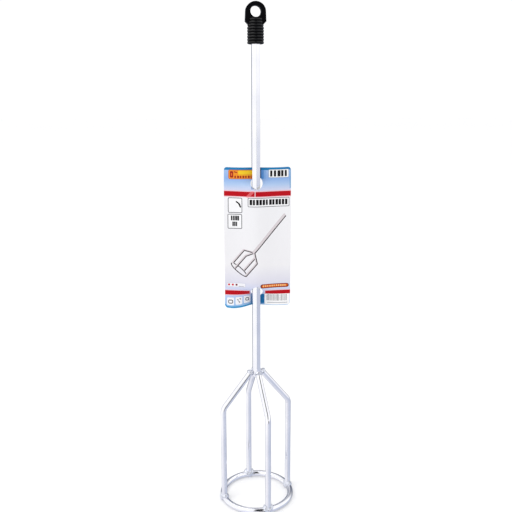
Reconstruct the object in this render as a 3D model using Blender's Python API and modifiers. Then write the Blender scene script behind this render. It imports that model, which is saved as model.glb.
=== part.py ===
"""Mortar mixing paddle: a hexagonal bar with a welded wire cage at its foot, a plastic hanger cap
pushed on its shank and a printed card threaded on the bar. Metres, +Z up along the bar, with the
origin under the middle of the ring. The front of the card looks along -Y."""

import math

import bmesh
import bpy
from mathutils import Matrix, Vector

# Gap that neighbouring pieces keep
GAP = 0.0003

# Whole paddle
OVERALL_LENGTH = 0.500
RING_DIAMETER = 0.080
WIRE_DIAMETER = 0.006

# Hexagonal bar
BAR_ACROSS_FLATS = 0.008
BAR_TURN = math.radians(10)
BAR_CHAMFER = 0.0005
BAR_BELOW_CROWN = 0.0042

# Cage legs, anticlockwise from above: each one's place round the bar, as it was welded by hand
LEG_DEGREES = {"right": 20, "back": 104, "left": 198, "front": 289}
CAGE_SHOULDER_HEIGHT = 0.107
LEG_SLOPE = math.radians(39)
LEG_BEND_RADIUS = 0.011
LEG_BEND_STEPS = 5

# Weld beads: how far each reaches past the wire, and its half height
FOOT_WELD_ALONG_RING = 0.0032
FOOT_WELD_ACROSS_RING = 0.0014
FOOT_WELD_HALF_HEIGHT = 0.0034
CROWN_WELD_REACH = 0.0009
CROWN_WELD_LENGTH = 0.0040
CROWN_WELD_HALF_HEIGHT = 0.0030
CROWN_WELD_LEAN = math.radians(33)

# Hanger cap; a rib's flank is its share of the pitch
SOCKET_DEPTH = 0.0214
BARREL_WALL = 0.0032
BARREL_ABOVE_SHANK = 0.0022
RIB_COUNT = 9
RIB_DEPTH = 0.0006
RIB_FLANK = 0.3
EYE_DIAMETER = 0.0104
EYE_RIM = 0.0045
EYE_CREST = 0.0038
EYE_ABOVE_BARREL = 0.0007
PLATE_THICKNESS = 0.0055
PLATE_FLARE = 0.0004
PLATE_SHOULDER = 0.0048
PLATE_EDGE = 0.0005
PLATE_TURN = math.radians(9)

# Printed card: its flat size, its place on the bar and the way it bends round the bar
CARD_WIDTH = 0.0676
CARD_HEIGHT = 0.143
CARD_THICKNESS = 0.0005
CARD_BOTTOM_HEIGHT = 0.2182
CARD_SIDE_SHIFT = 0.0015
CARD_CORNER = 0.003
CARD_HOLE_ROOM = 0.0021
CARD_HOLE_INSET = 0.0154
CARD_TURN_HEIGHT = 0.0114
CARD_BULGE_WIDTH = 0.015
CARD_TOP_LAG = 0.012
CARD_BOTTOM_LAG = 0.0045
CARD_CURL = 0.0115
CARD_CURL_HEIGHT = 0.026
CARD_CURL_TURN = math.radians(135)
CARD_COLUMNS = 12
CARD_ROWS = 34

# Sizes that follow from those above
WIRE_RADIUS = WIRE_DIAMETER / 2
RING_RADIUS = RING_DIAMETER / 2 - WIRE_RADIUS
BAR_CORNER_RADIUS = BAR_ACROSS_FLATS / math.sqrt(3)
SOCKET_RADIUS = BAR_CORNER_RADIUS + GAP
BARREL_RADIUS = SOCKET_RADIUS + BARREL_WALL
BARREL_BOTTOM = OVERALL_LENGTH - SOCKET_DEPTH
BARREL_TOP = OVERALL_LENGTH + BARREL_ABOVE_SHANK
EYE_HEIGHT = BARREL_TOP + EYE_ABOVE_BARREL + EYE_DIAMETER / 2
PLATE_RADIUS = EYE_DIAMETER / 2 + EYE_RIM
CARD_HOLE_RADIUS = BAR_CORNER_RADIUS + CARD_HOLE_ROOM
CARD_STANDOFF = BAR_CORNER_RADIUS + GAP + CARD_THICKNESS

# Steps that round shapes are made in, and how near two points or two facets count as one
WIRE_BEVEL_RESOLUTION = 4
RING_SEGMENTS = 60
RING_SIDES = 12
BARREL_SEGMENTS = 30
EYE_SEGMENTS = 24
PLATE_HEAD_STEPS = 20
PLATE_EDGE_LIMIT = math.radians(60)
CARD_HOLE_SEGMENTS = 20
CARD_CORNER_STEPS = 4
BEAD_SEGMENTS = 18
FLAT_LIMIT = 0.01
MERGE_DISTANCE = 0.00001


def clear_scene():
    for thing in list(bpy.data.objects):
        bpy.data.objects.remove(thing, do_unlink=True)


def new_collection(name):
    collection = bpy.data.collections.new(name)
    bpy.context.scene.collection.children.link(collection)
    return collection


def new_material(name, colour, metallic, roughness):
    material = bpy.data.materials.new(name)
    material.use_nodes = True
    shader = material.node_tree.nodes["Principled BSDF"]
    shader.inputs["Base Color"].default_value = (*colour, 1.0)
    shader.inputs["Metallic"].default_value = metallic
    shader.inputs["Roughness"].default_value = roughness
    return material


def add_part(name, data, material):
    part = bpy.data.objects.new(name, data)
    if material.name not in data.materials:
        data.materials.append(material)
    parts.objects.link(part)
    return part


def add_cutter(name, mesh):
    cutter = bpy.data.objects.new(name, mesh)
    cutter.hide_render = True
    cutter.display_type = "WIRE"
    cutters.objects.link(cutter)
    return cutter


def boolean(part, other, operation):
    modifier = part.modifiers.new(f"{operation.lower()} {other.name}", "BOOLEAN")
    modifier.operation = operation
    modifier.solver = "EXACT"
    modifier.object = other


def mesh_from(bm, name):
    mesh = bpy.data.meshes.new(name)
    bm.to_mesh(mesh)
    bm.free()
    return mesh


def curve_data(name, outlines, closed):
    """A curve with one straight-sided spline for each list of points."""
    curve = bpy.data.curves.new(name, "CURVE")
    curve.dimensions = "2D" if closed else "3D"
    for points in outlines:
        spline = curve.splines.new("POLY")
        spline.points.add(len(points) - 1)
        spline.use_cyclic_u = closed
        for place, point in zip(spline.points, points):
            place.co = (*point, 1.0)
    return curve


def welded_mesh(curve, name):
    """The curve's surface as a mesh whose caps are joined to its sides."""
    holder = bpy.data.objects.new(name, curve)
    bpy.context.scene.collection.objects.link(holder)
    bpy.context.view_layer.update()
    evaluated = holder.evaluated_get(bpy.context.evaluated_depsgraph_get())
    bm = bmesh.new()
    bm.from_mesh(bpy.data.meshes.new_from_object(evaluated))
    bmesh.ops.remove_doubles(bm, verts=bm.verts, dist=MERGE_DISTANCE)
    bpy.data.objects.remove(holder, do_unlink=True)
    return mesh_from(bm, name)


def arc(centre, radius, start, end, steps):
    """Points on an arc in a plane, both ends included; angles in radians."""
    angles = [start + (end - start) * k / steps for k in range(steps + 1)]
    return [(centre[0] + radius * math.cos(a), centre[1] + radius * math.sin(a)) for a in angles]


def smooth_step(value):
    value = min(1.0, max(0.0, value))
    return value * value * (3.0 - 2.0 * value)


def bar_reach(azimuth):
    """Distance from the bar's axis to its surface in one direction."""
    sector = math.tau / 6
    off_flat = (azimuth - BAR_TURN + sector / 2) % sector - sector / 2
    return BAR_ACROSS_FLATS / 2 / math.cos(off_flat)


def crown_point(azimuth, past_end=0.0):
    """Radius and height of the middle of a leg's upper end, or of a point past it."""
    radius = bar_reach(azimuth) + GAP + WIRE_RADIUS * math.cos(LEG_SLOPE)
    height = CAGE_SHOULDER_HEIGHT + (RING_RADIUS - radius) / math.tan(LEG_SLOPE)
    return radius - past_end * math.sin(LEG_SLOPE), height + past_end * math.cos(LEG_SLOPE)


def leg_path(azimuth, foot_height, past_end=0.0):
    """The middle line of one leg in its own upright plane, from the ring to the bar."""
    tangent = LEG_BEND_RADIUS * math.tan(LEG_SLOPE / 2)
    centre = (RING_RADIUS - LEG_BEND_RADIUS, CAGE_SHOULDER_HEIGHT - tangent)
    bend = arc(centre, LEG_BEND_RADIUS, 0.0, LEG_SLOPE, LEG_BEND_STEPS)
    return [(RING_RADIUS, foot_height), *bend, crown_point(azimuth, past_end)]


def wire_curve(name, path, radius):
    curve = curve_data(name, [[(r, 0.0, z) for r, z in path]], closed=False)
    curve.bevel_depth = radius
    curve.bevel_resolution = WIRE_BEVEL_RESOLUTION
    curve.use_fill_caps = True
    return curve


def hexagonal_prism(across_flats, bottom, top, chamfer):
    bm = bmesh.new()
    bmesh.ops.create_cone(
        bm,
        cap_ends=True,
        segments=6,
        radius1=across_flats / math.sqrt(3),
        radius2=across_flats / math.sqrt(3),
        depth=top - bottom,
        matrix=Matrix.Translation((0.0, 0.0, (top + bottom) / 2)),
    )
    if chamfer:
        rims = [e for e in bm.edges if abs(e.verts[0].co.z - e.verts[1].co.z) < MERGE_DISTANCE]
        bmesh.ops.bevel(bm, geom=rims, offset=chamfer, segments=1, affect="EDGES")
    return mesh_from(bm, "hexagonal prism")


def torus(radius, thickness):
    """A closed ring about Z that stands on the ground, swept by turning its round section."""
    bm = bmesh.new()
    matrix = Matrix.Translation((radius, 0.0, WIRE_RADIUS)) @ Matrix.Rotation(math.pi / 2, 4, "X")
    section = bmesh.ops.create_circle(bm, segments=RING_SIDES, radius=thickness, matrix=matrix)
    bmesh.ops.spin(
        bm,
        geom=section["verts"] + bm.edges[:],
        cent=(0.0, 0.0, 0.0),
        axis=(0.0, 0.0, 1.0),
        angle=math.tau,
        steps=RING_SEGMENTS,
        use_merge=True,
    )
    bmesh.ops.remove_doubles(bm, verts=bm.verts, dist=MERGE_DISTANCE)
    bmesh.ops.recalc_face_normals(bm, faces=bm.faces)
    return mesh_from(bm, "torus")


def ellipsoid(name, centre, half_sizes, lean):
    """A bead of weld metal; its lean turns it about Y."""
    bm = bmesh.new()
    matrix = Matrix.LocRotScale(
        Vector(centre), Matrix.Rotation(lean, 3, "Y").to_quaternion(), Vector(half_sizes)
    )
    bmesh.ops.create_uvsphere(
        bm, u_segments=BEAD_SEGMENTS, v_segments=BEAD_SEGMENTS // 2, radius=1.0, matrix=matrix
    )
    return mesh_from(bm, name)


def make_bar():
    foot = crown_point(BAR_TURN)[1] - BAR_BELOW_CROWN
    mesh = hexagonal_prism(BAR_ACROSS_FLATS, foot, OVERALL_LENGTH, BAR_CHAMFER)
    bar = add_part("shaft", mesh, steel)
    bar.rotation_euler.z = BAR_TURN
    room = hexagonal_prism(BAR_ACROSS_FLATS + 2 * GAP, foot - GAP, OVERALL_LENGTH, 0.0)
    clearance = add_cutter("shaft_clearance", room)
    clearance.rotation_euler.z = BAR_TURN
    return clearance


def make_ring():
    ring = add_part("ring", torus(RING_RADIUS, WIRE_RADIUS), steel)
    ring.data.shade_smooth()
    return add_cutter("ring_clearance", torus(RING_RADIUS, WIRE_RADIUS + GAP))


def make_leg(name, azimuth):
    path = leg_path(azimuth, WIRE_DIAMETER + GAP)
    leg = add_part(f"leg_{name}", wire_curve(f"leg_{name}", path, WIRE_RADIUS), steel)
    leg.rotation_euler.z = azimuth
    wider = wire_curve("clearance", leg_path(azimuth, WIRE_RADIUS, GAP), WIRE_RADIUS + GAP)
    clearance = add_cutter(f"leg_{name}_clearance", welded_mesh(wider, f"leg_{name}_clearance"))
    clearance.rotation_euler.z = azimuth
    return clearance


def make_foot_weld(name, azimuth, leg_clearance, ring_clearance):
    half_sizes = (
        WIRE_RADIUS + FOOT_WELD_ACROSS_RING,
        WIRE_RADIUS + FOOT_WELD_ALONG_RING,
        FOOT_WELD_HALF_HEIGHT,
    )
    mesh = ellipsoid("foot weld", (RING_RADIUS, 0.0, WIRE_DIAMETER + GAP), half_sizes, 0.0)
    weld = add_part(f"foot_weld_{name}", mesh, weld_metal)
    weld.rotation_euler.z = azimuth
    boolean(weld, ring_clearance, "DIFFERENCE")
    boolean(weld, leg_clearance, "DIFFERENCE")


def make_crown_weld(name, azimuth, leg_clearance, bar_clearance):
    radius, height = crown_point(azimuth, WIRE_RADIUS / 2)
    half_sizes = (CROWN_WELD_LENGTH, WIRE_RADIUS + CROWN_WELD_REACH, CROWN_WELD_HALF_HEIGHT)
    mesh = ellipsoid("crown weld", (radius, 0.0, height), half_sizes, CROWN_WELD_LEAN)
    weld = add_part(f"crown_weld_{name}", mesh, weld_metal)
    weld.rotation_euler.z = azimuth
    boolean(weld, bar_clearance, "DIFFERENCE")
    boolean(weld, leg_clearance, "DIFFERENCE")


def barrel_profile():
    """Half outline of the ribbed barrel, from its top on the axis down to its foot."""
    pitch = (BARREL_TOP - BARREL_BOTTOM) / RIB_COUNT
    valley = BARREL_RADIUS - RIB_DEPTH
    outline = [(0.0, BARREL_TOP), (valley, BARREL_TOP)]
    for rib in range(RIB_COUNT):
        top = BARREL_TOP - rib * pitch
        crest_ends = RIB_FLANK * pitch, (1.0 - RIB_FLANK) * pitch
        outline += [(BARREL_RADIUS, top - drop) for drop in crest_ends]
        outline.append((valley, top - pitch))
    return [*outline, (0.0, BARREL_BOTTOM)]


def eye_plate_mesh():
    """The flat plate round the eye, standing in the XZ plane, with its rims broken by a bevel."""
    shoulder = BARREL_TOP - BARREL_WALL
    foot = shoulder - PLATE_SHOULDER
    wide = PLATE_RADIUS + PLATE_FLARE
    crest = (EYE_DIAMETER / 2 + EYE_CREST) / PLATE_RADIUS
    round_head = arc((0.0, 0.0), PLATE_RADIUS, 0.0, math.pi, PLATE_HEAD_STEPS)
    head = [(x, EYE_HEIGHT + crest * z) for x, z in round_head]
    outline = [(wide - PLATE_SHOULDER, foot), (wide, shoulder), *head]
    outline += [(-wide, shoulder), (PLATE_SHOULDER - wide, foot)]
    eye = arc((0.0, EYE_HEIGHT), EYE_DIAMETER / 2, 0.0, math.tau, EYE_SEGMENTS)[:-1]
    flat = [[(x, z, 0.0) for x, z in points] for points in (outline, eye)]
    curve = curve_data("eye plate", flat, closed=True)
    curve.fill_mode = "BOTH"
    curve.extrude = PLATE_THICKNESS / 2
    mesh = welded_mesh(curve, "eye plate")
    mesh.transform(Matrix.Rotation(PLATE_TURN, 4, "Z") @ Matrix.Rotation(math.pi / 2, 4, "X"))
    return mesh


def make_hanger_cap():
    bm = bmesh.new()
    points = [bm.verts.new((x, 0.0, z)) for x, z in barrel_profile()]
    for upper, lower in zip(points, points[1:]):
        bm.edges.new((upper, lower))
    cap = add_part("hanger_cap", mesh_from(bm, "hanger cap"), black_plastic)
    turn = cap.modifiers.new("turned barrel", "SCREW")
    turn.steps = BARREL_SEGMENTS
    turn.render_steps = BARREL_SEGMENTS
    turn.use_merge_vertices = True
    turn.merge_threshold = MERGE_DISTANCE
    plate = add_cutter("eye_plate", eye_plate_mesh())
    rims = plate.modifiers.new("broken rims", "BEVEL")
    rims.width = PLATE_EDGE
    rims.segments = 1
    rims.limit_method = "ANGLE"
    rims.angle_limit = PLATE_EDGE_LIMIT
    boolean(cap, plate, "UNION")
    socket = bmesh.new()
    top = OVERALL_LENGTH + GAP
    bmesh.ops.create_cone(
        socket,
        cap_ends=True,
        segments=BARREL_SEGMENTS,
        radius1=SOCKET_RADIUS / math.cos(math.pi / BARREL_SEGMENTS),
        radius2=SOCKET_RADIUS / math.cos(math.pi / BARREL_SEGMENTS),
        depth=2 * SOCKET_DEPTH,
        matrix=Matrix.Translation((0.0, 0.0, top - SOCKET_DEPTH)),
    )
    boolean(cap, add_cutter("shank_socket", mesh_from(socket, "shank socket")), "DIFFERENCE")


def card_depth(x, height):
    """Y of the card's middle surface, where x is from the bar's axis and height from its foot.
    The card lies behind the bar at its top and bottom and in front of it between its holes."""
    lower, upper = CARD_HOLE_INSET, CARD_HEIGHT - CARD_HOLE_INSET
    in_front = smooth_step((height - lower) / CARD_TURN_HEIGHT + 0.5)
    in_front -= smooth_step((height - upper) / CARD_TURN_HEIGHT + 0.5)
    at_bar = CARD_STANDOFF * (1.0 - 2.0 * in_front) * math.exp(-((x / CARD_BULGE_WIDTH) ** 2))
    from_middle = 2.0 * height / CARD_HEIGHT - 1.0
    lag = CARD_TOP_LAG if from_middle > 0.0 else CARD_BOTTOM_LAG
    side = lag * from_middle**2 * (2.0 * x / CARD_WIDTH) ** 2
    to_side = (-x - BAR_CORNER_RADIUS) / (CARD_WIDTH / 2 - BAR_CORNER_RADIUS)
    fade = max(0.0, 1.0 - height / CARD_CURL_HEIGHT) ** 2
    curl = CARD_CURL * fade * math.sin(CARD_CURL_TURN * min(1.0, max(0.0, to_side)))
    return at_bar + side - curl


def rounded_rectangle(width, height, corner):
    outline = []
    for k in range(4):
        right, upper = k in (0, 3), k in (0, 1)
        x = (width / 2 - corner) * (1 if right else -1)
        y = height / 2 + (height / 2 - corner) * (1 if upper else -1)
        quarter = k * math.pi / 2, (k + 1) * math.pi / 2
        outline += arc((x, y), corner, *quarter, CARD_CORNER_STEPS)
    return outline


def make_card():
    holes = [CARD_HOLE_INSET, CARD_HEIGHT - CARD_HOLE_INSET]
    outline = rounded_rectangle(CARD_WIDTH, CARD_HEIGHT, CARD_CORNER)
    outlines = [[(x + CARD_SIDE_SHIFT, y, 0.0) for x, y in outline]]
    for height in holes:
        rim = arc((0.0, height), CARD_HOLE_RADIUS, 0.0, math.tau, CARD_HOLE_SEGMENTS)[:-1]
        outlines.append([(x, y, 0.0) for x, y in rim])
    curve = curve_data("card", outlines, closed=True)
    curve.fill_mode = "FRONT"
    bm = bmesh.new()
    bm.from_mesh(welded_mesh(curve, "card"))
    bmesh.ops.dissolve_limit(bm, angle_limit=FLAT_LIMIT, verts=bm.verts, edges=bm.edges)
    across, along = Vector((1.0, 0.0, 0.0)), Vector((0.0, 1.0, 0.0))
    folds = [((k / CARD_COLUMNS - 0.5) * CARD_WIDTH, across) for k in range(1, CARD_COLUMNS)]
    folds += [(k / CARD_ROWS * CARD_HEIGHT, along) for k in range(1, CARD_ROWS)]
    for place, normal in folds:
        bmesh.ops.bisect_plane(
            bm,
            geom=bm.verts[:] + bm.edges[:] + bm.faces[:],
            dist=MERGE_DISTANCE,
            plane_co=normal * place,
            plane_no=normal,
        )
    bmesh.ops.triangulate(bm, faces=bm.faces)
    for vert in bm.verts:
        x, height = vert.co.x, vert.co.y
        vert.co = (x, card_depth(x, height), CARD_BOTTOM_HEIGHT + height)
    card = add_part("display_card", mesh_from(bm, "display card"), printed_card)
    board = card.modifiers.new("board thickness", "SOLIDIFY")
    board.thickness = CARD_THICKNESS
    board.offset = 0.0


clear_scene()
parts = new_collection("mortar_mixing_paddle")
cutters = new_collection("cutters")
steel = new_material("zinc plated steel", (0.78, 0.80, 0.86), 1.0, 0.22)
weld_metal = new_material("plated weld metal", (0.74, 0.76, 0.82), 1.0, 0.35)
black_plastic = new_material("black plastic", (0.012, 0.012, 0.014), 0.0, 0.40)
printed_card = new_material("printed card", (0.80, 0.84, 0.92), 0.0, 0.35)

bar_room = make_bar()
ring_room = make_ring()
for leg_name, degrees in LEG_DEGREES.items():
    place = math.radians(degrees)
    leg_room = make_leg(leg_name, place)
    make_foot_weld(leg_name, place, leg_room, ring_room)
    make_crown_weld(leg_name, place, leg_room, bar_room)
make_hanger_cap()
make_card()
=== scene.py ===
"""Looks of a mortar mixing paddle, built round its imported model: a zinc plated hexagonal shaft, a welded
wire cage on a ring, a push-on hanger of black plastic and the printed display card that it is sold with."""

import math

import bmesh
import bpy
from mathutils import Matrix, Vector, geometry, noise


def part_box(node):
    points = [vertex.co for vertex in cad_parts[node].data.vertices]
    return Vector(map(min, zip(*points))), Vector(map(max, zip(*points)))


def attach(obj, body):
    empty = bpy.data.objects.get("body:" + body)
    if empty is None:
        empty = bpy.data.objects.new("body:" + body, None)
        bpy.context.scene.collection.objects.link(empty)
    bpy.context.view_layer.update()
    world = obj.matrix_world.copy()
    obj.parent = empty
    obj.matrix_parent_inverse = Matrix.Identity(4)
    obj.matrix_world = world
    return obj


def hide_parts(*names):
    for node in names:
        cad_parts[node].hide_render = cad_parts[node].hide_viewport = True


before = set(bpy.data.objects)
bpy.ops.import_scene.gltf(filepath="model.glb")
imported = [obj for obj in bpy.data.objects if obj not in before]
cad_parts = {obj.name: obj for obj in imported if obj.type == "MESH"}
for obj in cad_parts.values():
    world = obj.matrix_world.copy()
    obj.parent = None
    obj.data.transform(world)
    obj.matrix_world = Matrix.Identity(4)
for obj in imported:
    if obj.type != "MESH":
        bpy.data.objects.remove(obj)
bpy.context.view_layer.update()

# ---------------------------------------------------------------------------------------------------------
# The studio. A pale floor and a bright room on all sides, split overhead by the dark gap between two large
# soft boxes. Polished wire shows that gap as its thin black lines, and the floor to its right as lavender.
CAMERA_DISTANCE = 0.650
CAMERA_HEIGHT = 0.416
CAMERA_PITCH = math.radians(-12.56)
CAMERA_ROLL = math.radians(-0.15)
CAMERA_SIDE_SHIFT = -0.0001
LENS = 45.70
SENSOR = 36.0
FLOOR_RADIUS = 40.0
ROOM_STRENGTH = 1.16
PLAIN_STRENGTH = 1.05
CAMERA_STAND = (0.29, -0.94, -0.19)


def linear(colour, alpha=1.0):
    """A hex colour as it is seen, as the linear values that Blender works in."""
    parts = [int(colour[k : k + 2], 16) / 255 for k in (1, 3, 5)]
    return (*[c / 12.92 if c <= 0.04045 else ((c + 0.055) / 1.055) ** 2.4 for c in parts], alpha)


def add_node(tree, kind, settings=(), links=()):
    """Adds one node. A setting or a link names a socket by number or capitalised name, or else a property."""
    node = tree.nodes.new(kind)
    for key, value in dict(settings).items():
        if isinstance(key, int) or key[0].isupper():
            node.inputs[key].default_value = value
        else:
            setattr(node, key, value)
    for key, source in dict(links).items():
        tree.links.new(source, node.inputs[key])
    return node


def new_material(name):
    """An empty material, its tree, and its Principled shader joined to its output."""
    material = bpy.data.materials.new(name)
    material.use_nodes = True
    tree = material.node_tree
    tree.nodes.clear()
    shader = add_node(tree, "ShaderNodeBsdfPrincipled")
    add_node(tree, "ShaderNodeOutputMaterial", links={"Surface": shader.outputs[0]})
    return material, tree, shader


def link_object(name, data):
    thing = bpy.data.objects.new(name, data)
    bpy.context.scene.collection.objects.link(thing)
    return thing


scene = bpy.context.scene
scene.view_settings.view_transform = "Standard"

camera = link_object("camera", bpy.data.cameras.new("camera"))
camera.data.lens = LENS
camera.data.sensor_width = SENSOR
camera.data.clip_end = 4 * FLOOR_RADIUS
camera.data.clip_start = 0.01
camera.matrix_world = (
    Matrix.Translation((CAMERA_SIDE_SHIFT, -CAMERA_DISTANCE, CAMERA_HEIGHT))
    @ Matrix.Rotation(math.pi / 2 + CAMERA_PITCH, 4, "X")
    @ Matrix.Rotation(CAMERA_ROLL, 4, "Z")
)
scene.camera = camera

room = bpy.data.worlds.new("bright room")
scene.world = room
room.use_nodes = True
tree = room.node_tree
tree.nodes.clear()
direction = add_node(tree, "ShaderNodeTexCoord").outputs["Generated"]
axes = add_node(tree, "ShaderNodeSeparateXYZ", links={0: direction}).outputs
floor_side = add_node(
    tree,
    "ShaderNodeMapRange",
    {"interpolation_type": "SMOOTHSTEP", "From Min": -0.7, "From Max": 0.8},
    {"Value": axes["X"]},
)
floor_back = add_node(
    tree,
    "ShaderNodeMapRange",
    {"interpolation_type": "SMOOTHSTEP", "From Min": 0.35, "From Max": 0.95},
    {"Value": axes["Y"]},
)
floor_tone = add_node(
    tree,
    "ShaderNodeMix",
    {"data_type": "RGBA", 6: linear("#e9e9ee"), 7: linear("#c3c9d8")},
    {0: floor_side.outputs[0]},
)
rising = add_node(
    tree, "ShaderNodeMath", {"operation": "MULTIPLY_ADD", 1: -0.25}, {0: axes["X"], 2: axes["Z"]}
)
above = add_node(
    tree,
    "ShaderNodeMapRange",
    {"interpolation_type": "SMOOTHSTEP", "From Min": -0.42, "From Max": -0.15},
    {"Value": rising.outputs[0]},
)
walls = add_node(
    tree,
    "ShaderNodeMix",
    {"data_type": "RGBA", 7: linear("#ffffff")},
    {0: above.outputs[0], 6: floor_tone.outputs[2]},
)
back_side = add_node(
    tree, "ShaderNodeMapRange", {"From Min": -0.3, "From Max": 0.3}, {"Value": axes["X"]}
)
back_tone = add_node(
    tree,
    "ShaderNodeMix",
    {"data_type": "RGBA", 6: linear("#8d929e"), 7: linear("#565d70")},
    {0: back_side.outputs[0]},
)
walls = add_node(
    tree,
    "ShaderNodeMix",
    {"data_type": "RGBA"},
    {0: floor_back.outputs[0], 6: walls.outputs[2], 7: back_tone.outputs[2]},
)
off_middle = add_node(
    tree, "ShaderNodeMath", {"operation": "MULTIPLY_ADD", 1: -0.18}, {0: axes["Z"], 2: axes["X"]}
)
off_middle = add_node(tree, "ShaderNodeMath", {"operation": "ABSOLUTE"}, {0: off_middle.outputs[0]})
narrow = add_node(
    tree,
    "ShaderNodeMapRange",
    {"interpolation_type": "SMOOTHSTEP", "From Min": 0.26, "From Max": 0.17},
    {"Value": off_middle.outputs[0]},
)
past_top = add_node(
    tree, "ShaderNodeMath", {"operation": "MULTIPLY_ADD", 1: -2.0, 2: 0.35}, {0: axes["Y"]}
)
low_end = add_node(
    tree, "ShaderNodeMath", {"operation": "MINIMUM"}, {0: past_top.outputs[0], 1: axes["Z"]}
)
gap_end = add_node(
    tree,
    "ShaderNodeMapRange",
    {"interpolation_type": "SMOOTHSTEP", "From Min": -0.10, "From Max": 0.42},
    {"Value": low_end.outputs[0]},
)
gap = add_node(
    tree,
    "ShaderNodeMath",
    {"operation": "MULTIPLY"},
    {0: narrow.outputs[0], 1: gap_end.outputs[0]},
)
toward = add_node(
    tree, "ShaderNodeVectorMath", {"operation": "DOT_PRODUCT", 1: CAMERA_STAND}, {0: direction}
)
stand = add_node(
    tree,
    "ShaderNodeMapRange",
    {"interpolation_type": "SMOOTHSTEP", "From Min": 0.970, "From Max": 0.985},
    {"Value": toward.outputs["Value"]},
)
dark = add_node(
    tree, "ShaderNodeMath", {"operation": "MAXIMUM"}, {0: gap.outputs[0], 1: stand.outputs[0]}
)
lit = add_node(
    tree,
    "ShaderNodeMix",
    {"data_type": "RGBA", 7: linear("#16181c")},
    {0: dark.outputs[0], 6: walls.outputs[2]},
)
room_light = add_node(
    tree, "ShaderNodeBackground", {"Strength": ROOM_STRENGTH}, {"Color": lit.outputs[2]}
)
plain = add_node(
    tree, "ShaderNodeBackground", {"Color": linear("#ffffff"), "Strength": PLAIN_STRENGTH}
)
mirrored = add_node(tree, "ShaderNodeLightPath").outputs["Is Glossy Ray"]
both = add_node(
    tree, "ShaderNodeMixShader", links={0: mirrored, 1: plain.outputs[0], 2: room_light.outputs[0]}
)
add_node(tree, "ShaderNodeOutputWorld", links={"Surface": both.outputs[0]})

lamp = bpy.data.lights.new("soft box", "AREA")
lamp.shape = "DISK"
lamp.size = 0.9
lamp.energy = 6.0
soft_box = link_object("soft_box", lamp)
soft_box.matrix_world = Matrix.Translation((-0.9, -0.7, 1.6)) @ Vector((0.9, 0.7, -1.35)).to_track_quat(
    "-Z", "Y"
).to_matrix().to_4x4()

bm = bmesh.new()
bmesh.ops.create_circle(bm, cap_ends=True, segments=96, radius=FLOOR_RADIUS)
floor_mesh = bpy.data.meshes.new("floor")
bm.to_mesh(floor_mesh)
floor = link_object("floor", floor_mesh)
floor.visible_glossy = False
paper, tree, shader = new_material("pale paper floor")
shader.inputs["Base Color"].default_value = linear("#fbfbfc")
shader.inputs["Roughness"].default_value = 0.9
shader.inputs["Specular IOR Level"].default_value = 0.1
floor_mesh.materials.append(paper)

# ---------------------------------------------------------------------------------------------------------
# The shaft. A length of cold drawn hexagonal steel bar, 8 mm across its flats, sawn off and chamfered at
# both ends, with the small round corners that the die leaves. It is zinc plated after welding.
BAR_ACROSS_FLATS = 0.008
BAR_TURN = math.radians(10)
BAR_CORNER_ROUND = 0.00035
BAR_END_CHAMFER = 0.0005
DRAW_LINE_SPACING = 0.00035


def finished(name, mesh, *materials, smooth_angle=30.0):
    """A piece with its materials, shaded smooth except across its sharp edges."""
    mesh.name = name
    mesh.materials.clear()
    for material in materials:
        mesh.materials.append(material)
    mesh.polygons.foreach_set("use_smooth", [True] * len(mesh.polygons))
    mesh.set_sharp_from_angle(angle=math.radians(smooth_angle))
    return link_object(name, mesh)


def applied(thing):
    """What the modifiers make of an object, as a plain mesh. The object itself is removed."""
    seen_by = bpy.context.evaluated_depsgraph_get()
    mesh = bpy.data.meshes.new_from_object(thing.evaluated_get(seen_by), depsgraph=seen_by)
    bpy.data.objects.remove(thing)
    return mesh


def plated_steel(name, along):
    """Bright zinc on steel with a clear blue passivation. The plate is a hard mirror that drifts from white
    to a cold lavender over some centimetres, is cloudy here and there, and keeps the drawing marks of the
    steel under it. along is the stretch of those marks on each axis."""
    material, tree, shader = new_material(name)
    place = add_node(tree, "ShaderNodeTexCoord").outputs["Object"]
    drift = add_node(
        tree,
        "ShaderNodeTexNoise",
        {"Scale": 1 / 0.030, "Detail": 3.0, "Roughness": 0.55},
        {"Vector": place},
    )
    tint = add_node(tree, "ShaderNodeValToRGB", links={0: drift.outputs[0]})
    tint.color_ramp.elements[0].position, tint.color_ramp.elements[1].position = 0.36, 0.66
    tint.color_ramp.elements[0].color = linear("#e8e9f0")
    tint.color_ramp.elements[1].color = linear("#f3f3f7")
    clouds = add_node(
        tree,
        "ShaderNodeTexNoise",
        {"Scale": 1 / 0.006, "Detail": 4.0, "Roughness": 0.6},
        {"Vector": place},
    )
    cloudy = add_node(
        tree,
        "ShaderNodeMapRange",
        {"From Min": 0.35, "From Max": 0.75, "To Min": 0.07, "To Max": 0.16},
        {"Value": clouds.outputs[0]},
    )
    stretched = add_node(tree, "ShaderNodeVectorMath", {"operation": "MULTIPLY", 1: along}, {0: place})
    marks = add_node(
        tree,
        "ShaderNodeTexNoise",
        {"Scale": 1 / DRAW_LINE_SPACING, "Detail": 2.0, "Roughness": 0.5},
        {"Vector": stretched.outputs[0]},
    )
    relief = add_node(
        tree,
        "ShaderNodeBump",
        {"Strength": 0.05, "Distance": 0.0001},
        {"Height": marks.outputs[0]},
    )
    shader.inputs["Metallic"].default_value = 1.0
    tree.links.new(tint.outputs[0], shader.inputs["Base Color"])
    tree.links.new(cloudy.outputs[0], shader.inputs["Roughness"])
    tree.links.new(relief.outputs[0], shader.inputs["Normal"])
    return material


# Cold drawn bar keeps long straight marks, so its marks are forty times longer than they are wide.
drawn_zinc = plated_steel("bright zinc on drawn steel bar", (1.0, 1.0, 0.025))

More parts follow.
